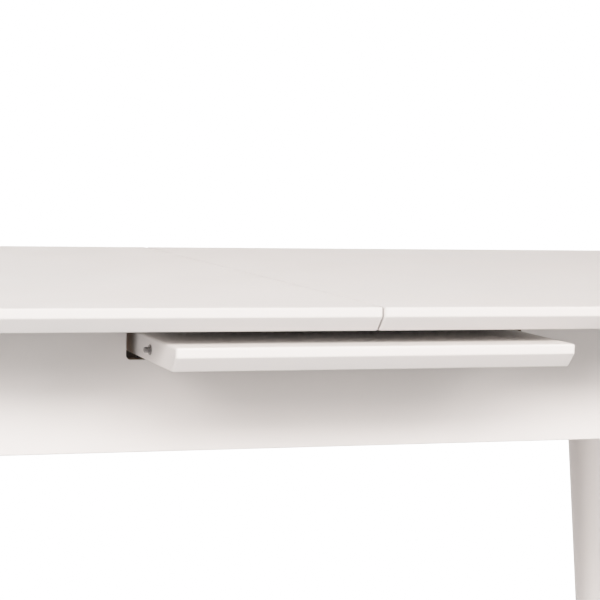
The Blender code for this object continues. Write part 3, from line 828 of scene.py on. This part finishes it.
def make_table():
    sunk, pan = countersunk_screw(), pan_screw()
    for panel in ("left_top", "right_top", "leaf"):
        make_panel(panel)
    for side in ("left", "right"):
        make_apron(side + "_apron")
        make_angle(side + "_leaf_angle", pan)
        for rail in (side + "_cross_rail", side + "_keeper_rail"):
            fine_piece(rail, beech(rail + "_beech", "Y"), TIMBER_EASE)
    for end in ("front", "rear"):
        make_apron(end + "_apron")
        for side in ("left", "right"):
            make_corner(end + "_" + side + "_", sunk)
            make_runner("%s_%s_runner" % (side, end), sunk)
            for part, axis in (("guide", "X"), ("stop", "Y")):
                node = "%s_%s_%s" % (side, end, part)
                fine_piece(node, beech(node + "_beech", axis), TIMBER_EASE)
    for number in range(1, PIN_COUNT + 1):
        make_pin("right_top_pin_%d" % number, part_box("right_top")[0].x)
        make_pin("leaf_pin_%d" % number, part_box("leaf")[0].x)
        make_socket("left_top_socket_%d" % number)
        make_socket("leaf_socket_%d" % number)


def make_corner(prefix, screw):
    """One leg with its block, bolt, nut and glide."""
    fine_piece(prefix + "leg", lacquer(prefix + "leg_lacquer", grain_axis="Z"))
    make_block(prefix + "block", screw)
    make_bolt(prefix + "bolt")
    make_nut(prefix + "nut")
    make_glide(prefix + "glide")


# Studio -----------------------------------------------------------------------------------
def make_world():
    """White all round for the viewer. As a light, the room glows low behind the table."""
    world = bpy.data.worlds.new("studio")
    world.use_nodes = True
    nodes, links = world.node_tree.nodes, world.node_tree.links

    def step(operation, first, second):
        node = nodes.new("ShaderNodeMath")
        node.operation = operation
        for socket, value in zip(node.inputs, (first, second)):
            if isinstance(value, bpy.types.NodeSocket):
                links.new(value, socket)
            else:
                socket.default_value = value
        return node.outputs["Value"]

    split = nodes.new("ShaderNodeSeparateXYZ")
    links.new(nodes.new("ShaderNodeTexCoord").outputs["Generated"], split.inputs["Vector"])
    rearward = step("MAXIMUM", split.outputs["Y"], 0.0)
    wash = step("MULTIPLY", step("POWER", rearward, REAR_WASH_SHARPNESS), REAR_WASH)
    glow = step("MULTIPLY", step("POWER", rearward, REAR_GLOW_SHARPNESS), REAR_GLOW)
    seen = nodes.new("ShaderNodeLightPath").outputs["Is Camera Ray"]
    fill = step("MULTIPLY", step("SUBTRACT", 1.0, seen), step("ADD", wash, glow))
    tint = nodes.new("ShaderNodeMix")
    tint.data_type = "RGBA"
    links.new(seen, tint.inputs["Factor"])
    tint.inputs[6].default_value = (*STUDIO_TINT, 1.0)
    tint.inputs[7].default_value = (1.0, 1.0, 1.0, 1.0)
    background = nodes["Background"]
    links.new(tint.outputs[2], background.inputs["Color"])
    links.new(step("MAXIMUM", fill, seen), background.inputs["Strength"])
    bpy.context.scene.world = world


def set_response():
    """A photographic response: straight in the shade, with a long shoulder in the whites."""
    settings = bpy.context.scene.view_settings
    settings.view_transform = "Standard"
    settings.use_curve_mapping = True
    mapping = settings.curve_mapping
    mapping.extend = "HORIZONTAL"
    curve = mapping.curves[3]
    for step in range(1, SHOULDER_POINTS):
        light = (step / SHOULDER_POINTS) ** 1.5
        curve.points.new(light, (1 - math.exp(-SHOULDER * light)) / (1 - math.exp(-SHOULDER)))
    mapping.update()


def make_floor():
    """A pale floor with a painted glow: a share of glow near the table and all glow away from it,
    white to the viewer. The glow also faintly lights the table.
    """
    bm = bmesh.new()
    bmesh.ops.create_grid(bm, x_segments=1, y_segments=1, size=FLOOR_REACH)
    mesh = bpy.data.meshes.new("floor")
    bm.to_mesh(mesh)
    bm.free()
    floor = bpy.data.objects.new("floor", mesh)
    tree = Tree("floor_paint")
    length = tree.nodes.new("ShaderNodeVectorMath")
    length.operation = "LENGTH"
    tree.links.new(tree.place, length.inputs[0])
    glow_share = tree.ramp(length.outputs["Value"], FLOOR_PALE_RADIUS, FLOOR_WHITE_RADIUS,
                      FLOOR_LIFT, 1.0)
    tree.shade(Base_Color=(*FLOOR, 1.0), Roughness=0.9, Specular_IOR_Level=0.1)
    # Painted glow: the floor emits light, full white to the viewer and faint as a light on the
    # table
    glow = tree.nodes.new("ShaderNodeEmission")
    seen = tree.nodes.new("ShaderNodeLightPath").outputs["Is Camera Ray"]
    tree.links.new(tree.math("MAXIMUM", seen, FLOOR_GLOW), glow.inputs["Strength"])
    mixer = tree.nodes.new("ShaderNodeMixShader")
    tree.links.new(glow_share, mixer.inputs[0])
    tree.links.new(tree.shader.outputs[0], mixer.inputs[1])
    tree.links.new(glow.outputs[0], mixer.inputs[2])
    tree.links.new(mixer.outputs[0], tree.nodes["Material Output"].inputs["Surface"])
    mesh.materials.append(tree.material)
    bpy.context.scene.collection.objects.link(floor)


def add_softbox(name, azimuth, elevation, power):
    """A rectangular light aimed at the middle of the top. Azimuth 0 is in front, +X is +."""
    turn, rise = math.radians(azimuth), math.radians(elevation)
    toward = Vector((math.sin(turn) * math.cos(rise), -math.cos(turn) * math.cos(rise),
                     math.sin(rise)))
    data = bpy.data.lights.new(name, "AREA")
    data.shape = "RECTANGLE"
    data.size, data.size_y = SOFTBOX_SIZE
    data.energy = power
    data.color = STUDIO_TINT
    light = bpy.data.objects.new(name, data)
    light.location = Vector((0, 0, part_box("left_top")[1].z)) + SOFTBOX_DISTANCE * toward
    light.rotation_euler = (-toward).to_track_quat("-Z", "Y").to_euler()
    bpy.context.scene.collection.objects.link(light)


def make_camera():
    yaw, pitch, roll = (math.radians(a) for a in (VIEW_YAW, VIEW_PITCH, VIEW_ROLL))
    forward = Vector((math.sin(yaw) * math.cos(pitch), math.cos(yaw) * math.cos(pitch),
                      -math.sin(pitch)))
    level = Vector((math.cos(yaw), -math.sin(yaw), 0.0))
    upright = level.cross(forward)
    right = level * math.cos(roll) + upright * math.sin(roll)
    up = upright * math.cos(roll) - level * math.sin(roll)
    data = bpy.data.cameras.new("viewer")
    data.sensor_width = SENSOR
    data.lens = VIEW_LENS
    camera = bpy.data.objects.new("viewer", data)
    axes = Matrix((right, up, -forward)).transposed()
    camera.matrix_world = Matrix.Translation(VIEW_PLACE) @ axes.to_4x4()
    bpy.context.scene.collection.objects.link(camera)
    bpy.context.scene.camera = camera


make_camera()
make_table()
make_world()
set_response()
make_floor()
for softbox in SOFTBOXES:
    add_softbox(*softbox)
